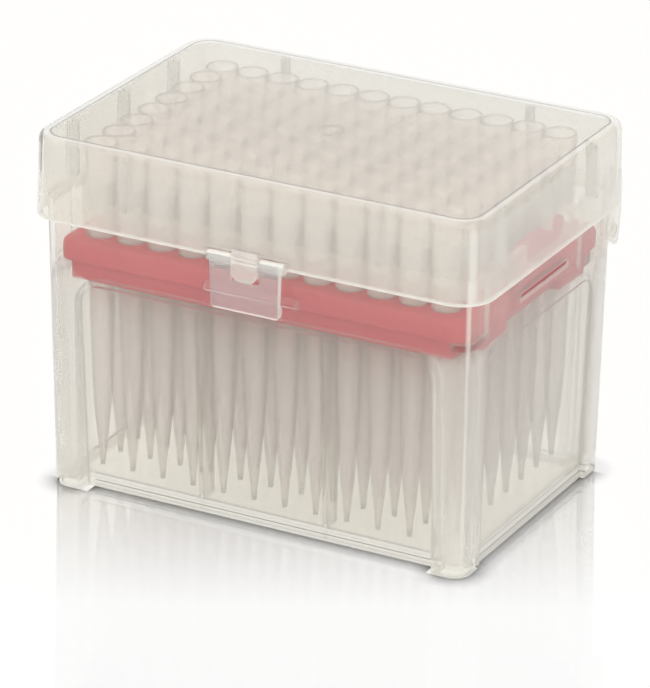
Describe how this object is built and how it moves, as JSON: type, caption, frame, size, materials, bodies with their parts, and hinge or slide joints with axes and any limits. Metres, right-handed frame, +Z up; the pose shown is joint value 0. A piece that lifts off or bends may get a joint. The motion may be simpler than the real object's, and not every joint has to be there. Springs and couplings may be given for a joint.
{
  "type": "box of pipette tips",
  "caption": "Hinged translucent plastic box that stores filter pipette tips upright in a red rack, closed by a swinging clip.",
  "frame": {"origin": "centre of the box's footprint, on the ground under its feet", "axes": "+X along the box's length, +Y from the clip to the hinge, +Z up"},
  "size_m": [0.1292, 0.0971, 0.0978],
  "materials": {
    "base_plastic": "translucent natural polypropylene, satin moulded",
    "lid_plastic": "clear natural polypropylene, light gloss",
    "clip_plastic": "clear polypropylene, glossy",
    "rack_plastic": "red polypropylene, satin",
    "tip_plastic": "milky translucent polypropylene",
    "filter_plastic": "white porous polyethylene"
  },
  "bodies": {
    "base": {"base_box": "base_plastic", "tip_rack": "rack_plastic", "rack_grips": "rack_plastic", "tips_col_01": "tip_plastic", "tips_col_02": "tip_plastic", "tips_col_03": "tip_plastic", "tips_col_04": "tip_plastic", "tips_col_05": "tip_plastic", "tips_col_06": "tip_plastic", "tips_col_07": "tip_plastic", "tips_col_08": "tip_plastic", "tips_col_09": "tip_plastic", "tips_col_10": "tip_plastic", "tips_col_11": "tip_plastic", "tips_col_12": "tip_plastic", "filters_col_01": "filter_plastic", "filters_col_02": "filter_plastic", "filters_col_03": "filter_plastic", "filters_col_04": "filter_plastic", "filters_col_05": "filter_plastic", "filters_col_06": "filter_plastic", "filters_col_07": "filter_plastic", "filters_col_08": "filter_plastic", "filters_col_09": "filter_plastic", "filters_col_10": "filter_plastic", "filters_col_11": "filter_plastic", "filters_col_12": "filter_plastic"},
    "lid": {"lid_cover": "lid_plastic"},
    "clip": {"latch_clip": "clip_plastic"}
  },
  "joints": [
    {"name": "lid_hinge", "type": "hinge", "parent": "base", "child": "lid", "pos_m": [0, 0.0467, 0.0645], "axis": [-1, 0, 0], "range_deg": [0, 115]},
    {"name": "clip_hinge", "type": "hinge", "parent": "lid", "child": "clip", "pos_m": [0, -0.04445, 0.07605], "axis": [-1, 0, 0], "range_deg": [0, 120]}
  ]
}
